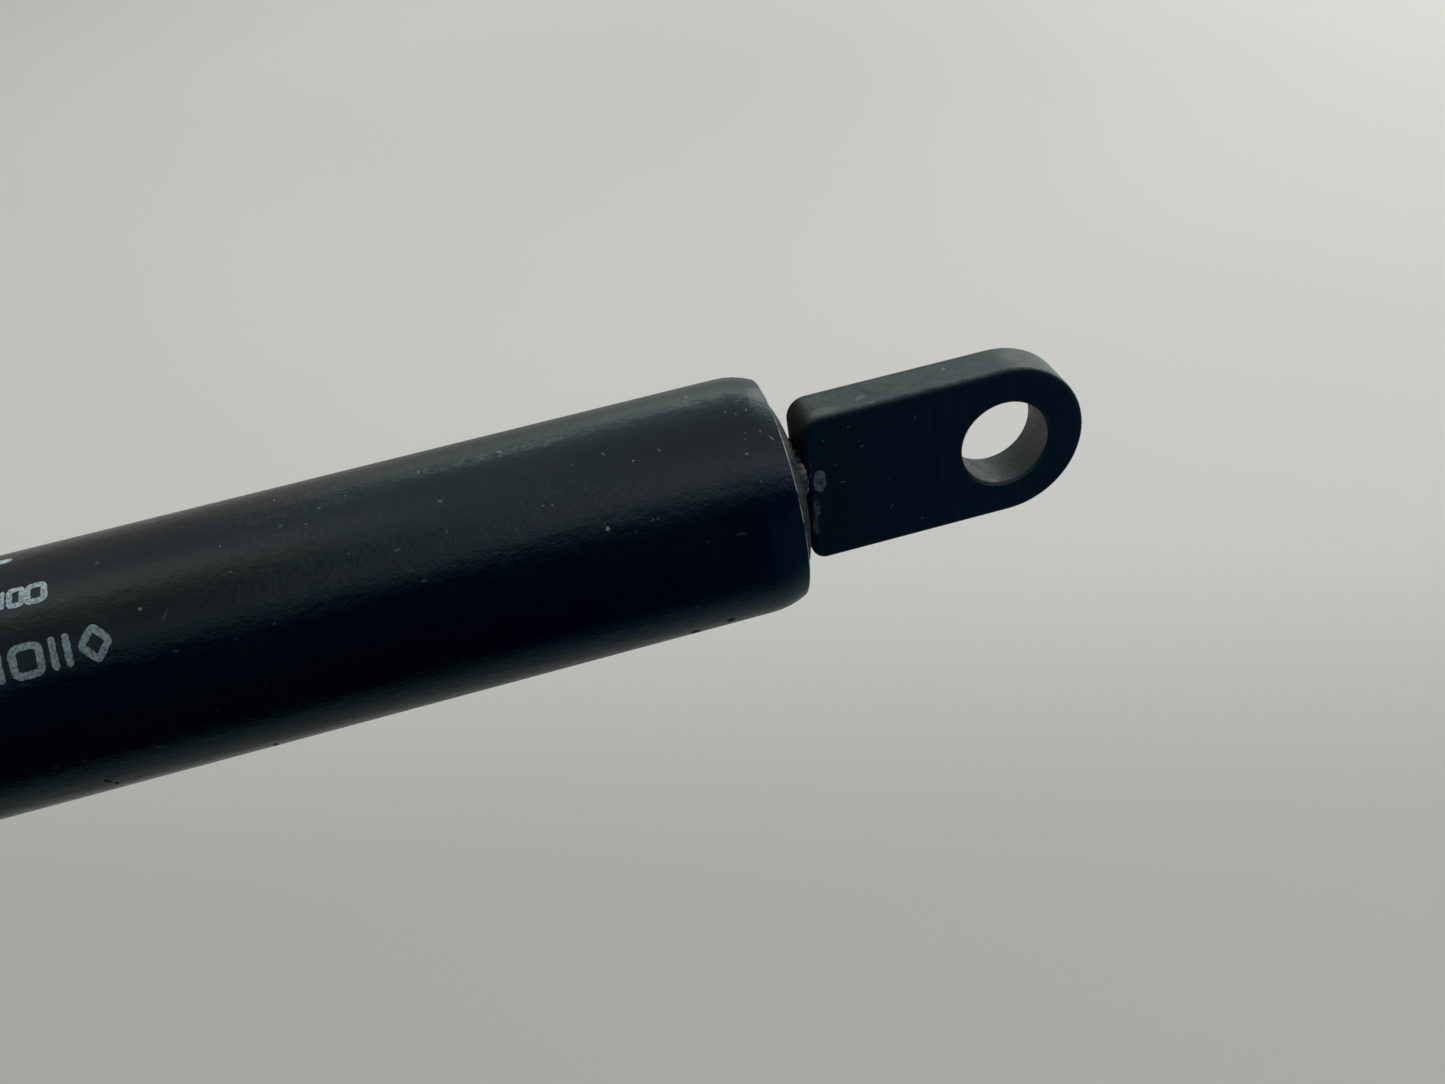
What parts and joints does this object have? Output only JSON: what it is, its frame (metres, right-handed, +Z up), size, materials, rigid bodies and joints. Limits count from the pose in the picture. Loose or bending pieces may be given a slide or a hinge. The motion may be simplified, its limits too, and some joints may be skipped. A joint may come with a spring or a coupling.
{
  "type": "gas strut stay",
  "caption": "Gas strut stay with a black pressure tube, a sliding and turning piston rod, and a flat bored eye welded to each end.",
  "frame": {"origin": "centre of the tube eye's bore", "axes": "+Y along the tube eye's bore, +X along the strut from the rod towards the tube eye, +Z up"},
  "size_m": [0.4155, 0.022, 0.022],
  "materials": {
    "tube_paint": "satin black",
    "eye_paint": "satin black",
    "plug_steel": "dull",
    "weld_steel": "rough",
    "seal_rubber": "matt",
    "guide_brass": "turned",
    "bright_steel": "zinc plated",
    "rod_chrome": "hard chrome, ground",
    "piston_alloy": "die cast",
    "ring_plastic": "satin"
  },
  "bodies": {
    "cylinder": {"pressure_tube": "tube_paint", "end_plug": "plug_steel", "end_plug_o_ring": "seal_rubber", "tube_eye": "eye_paint", "tube_eye_weld": "weld_steel", "rod_guide": "guide_brass", "guide_o_ring": "seal_rubber", "rod_wiper": "seal_rubber", "rod_seal": "seal_rubber", "seal_support_ring": "bright_steel"},
    "piston_ring": {"piston_ring": "ring_plastic"},
    "rod": {"piston_rod": "rod_chrome", "stop_washer": "bright_steel", "piston_spring_washer": "bright_steel", "throttle_disc": "bright_steel", "piston": "piston_alloy", "backing_washer": "bright_steel", "piston_nut": "bright_steel", "rod_eye": "eye_paint", "rod_eye_weld": "weld_steel"}
  },
  "joints": [
    {"name": "rod_slide", "type": "slide", "parent": "cylinder", "child": "piston_ring", "axis": [1, 0, 0], "range_m": [0, 0.15], "stiffness_N_per_m": 600, "springref_m": -0.667},
    {"name": "rod_turn", "type": "hinge", "parent": "piston_ring", "child": "rod", "pos_m": [-0.2, 0, 0], "axis": [1, 0, 0], "continuous": true}
  ]
}
